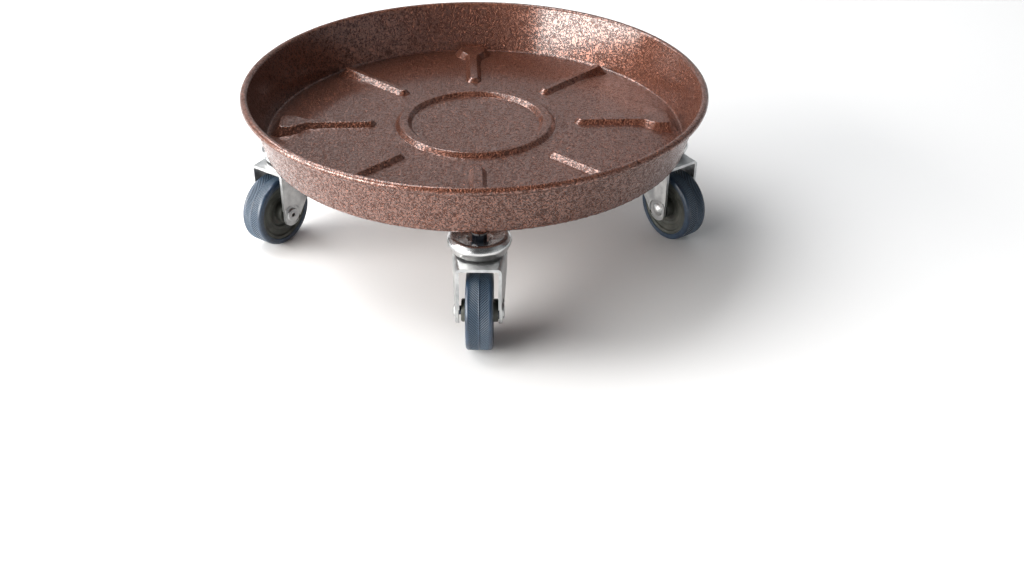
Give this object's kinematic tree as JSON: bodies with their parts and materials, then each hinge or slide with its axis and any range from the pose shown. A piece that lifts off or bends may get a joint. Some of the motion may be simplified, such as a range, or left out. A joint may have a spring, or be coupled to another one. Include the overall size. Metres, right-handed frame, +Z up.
{
  "type": "plant pot caddy",
  "caption": "Round pressed-steel pan with a raised pot ring and radial ribs, carried on swivel casters so that a heavy plant pot can be rolled about.",
  "frame": {"origin": "on the floor, below the centre of the pan", "axes": "+Z up; the casters stand at -Y (front), +X (right), +Y (back) and -X (left)"},
  "size_m": [0.3271, 0.3505, 0.1155],
  "materials": {
    "pan_coat": "copper hammered powder coat on steel",
    "boss_coat": "powder coated steel",
    "zinc": "zinc plated, satin",
    "bright_zinc": "bright zinc plated",
    "stem_steel": "dark phosphated steel",
    "bearing_steel": "polished",
    "rivet": "bright steel",
    "dark_steel": "blackened steel",
    "wheel_core": "moulded",
    "tyre": "blue-grey rubber"
  },
  "bodies": {
    "pan": {"pan": "pan_coat", "threaded_bosses": "boss_coat", "lock_washers": "zinc", "front_stem": "stem_steel", "front_swivel_cup": "bright_zinc", "front_lower_race": "zinc", "right_stem": "stem_steel", "right_swivel_cup": "bright_zinc", "right_lower_race": "zinc", "back_stem": "stem_steel", "back_swivel_cup": "bright_zinc", "back_lower_race": "zinc", "left_stem": "stem_steel", "left_swivel_cup": "bright_zinc", "left_lower_race": "zinc"},
    "front_swivel": {"front_fork": "zinc", "front_upper_balls": "bearing_steel", "front_lower_balls": "bearing_steel", "front_axle_rivet": "rivet", "front_axle_sleeve": "dark_steel", "front_hub_washer": "dark_steel"},
    "front_wheel": {"front_wheel_core": "wheel_core", "front_tyre": "tyre"},
    "right_swivel": {"right_fork": "zinc", "right_upper_balls": "bearing_steel", "right_lower_balls": "bearing_steel", "right_axle_rivet": "rivet", "right_axle_sleeve": "dark_steel", "right_hub_washer": "dark_steel"},
    "right_wheel": {"right_wheel_core": "wheel_core", "right_tyre": "tyre"},
    "back_swivel": {"back_fork": "zinc", "back_upper_balls": "bearing_steel", "back_lower_balls": "bearing_steel", "back_axle_rivet": "rivet", "back_axle_sleeve": "dark_steel", "back_hub_washer": "dark_steel"},
    "back_wheel": {"back_wheel_core": "wheel_core", "back_tyre": "tyre"},
    "left_swivel": {"left_fork": "zinc", "left_upper_balls": "bearing_steel", "left_lower_balls": "bearing_steel", "left_axle_rivet": "rivet", "left_axle_sleeve": "dark_steel", "left_hub_washer": "dark_steel"},
    "left_wheel": {"left_wheel_core": "wheel_core", "left_tyre": "tyre"}
  },
  "joints": [
    {"name": "front_swivel_turn", "type": "hinge", "parent": "pan", "child": "front_swivel", "pos_m": [0, -0.1315, 0.06435], "axis": [0, 0, 1], "continuous": true},
    {"name": "front_wheel_roll", "type": "hinge", "parent": "front_swivel", "child": "front_wheel", "pos_m": [-0.00081, -0.14998, 0.025], "axis": [0.999, -0.0436, 0], "continuous": true},
    {"name": "right_swivel_turn", "type": "hinge", "parent": "pan", "child": "right_swivel", "pos_m": [0.1315, 0, 0.06435], "axis": [0, 0, 1], "continuous": true},
    {"name": "right_wheel_roll", "type": "hinge", "parent": "right_swivel", "child": "right_wheel", "pos_m": [0.14184, -0.01534, 0.025], "axis": [0.829, 0.5592, 0], "continuous": true},
    {"name": "back_swivel_turn", "type": "hinge", "parent": "pan", "child": "back_swivel", "pos_m": [0, 0.1315, 0.06435], "axis": [0, 0, 1], "continuous": true},
    {"name": "back_wheel_roll", "type": "hinge", "parent": "back_swivel", "child": "back_wheel", "pos_m": [0.00258, 0.14982, 0.025], "axis": [-0.9903, 0.1392, 0], "continuous": true},
    {"name": "left_swivel_turn", "type": "hinge", "parent": "pan", "child": "left_swivel", "pos_m": [-0.1315, 0, 0.06435], "axis": [0, 0, 1], "continuous": true},
    {"name": "left_wheel_roll", "type": "hinge", "parent": "left_swivel", "child": "left_wheel", "pos_m": [-0.14263, -0.01477, 0.025], "axis": [0.7986, -0.6018, 0], "continuous": true}
  ]
}
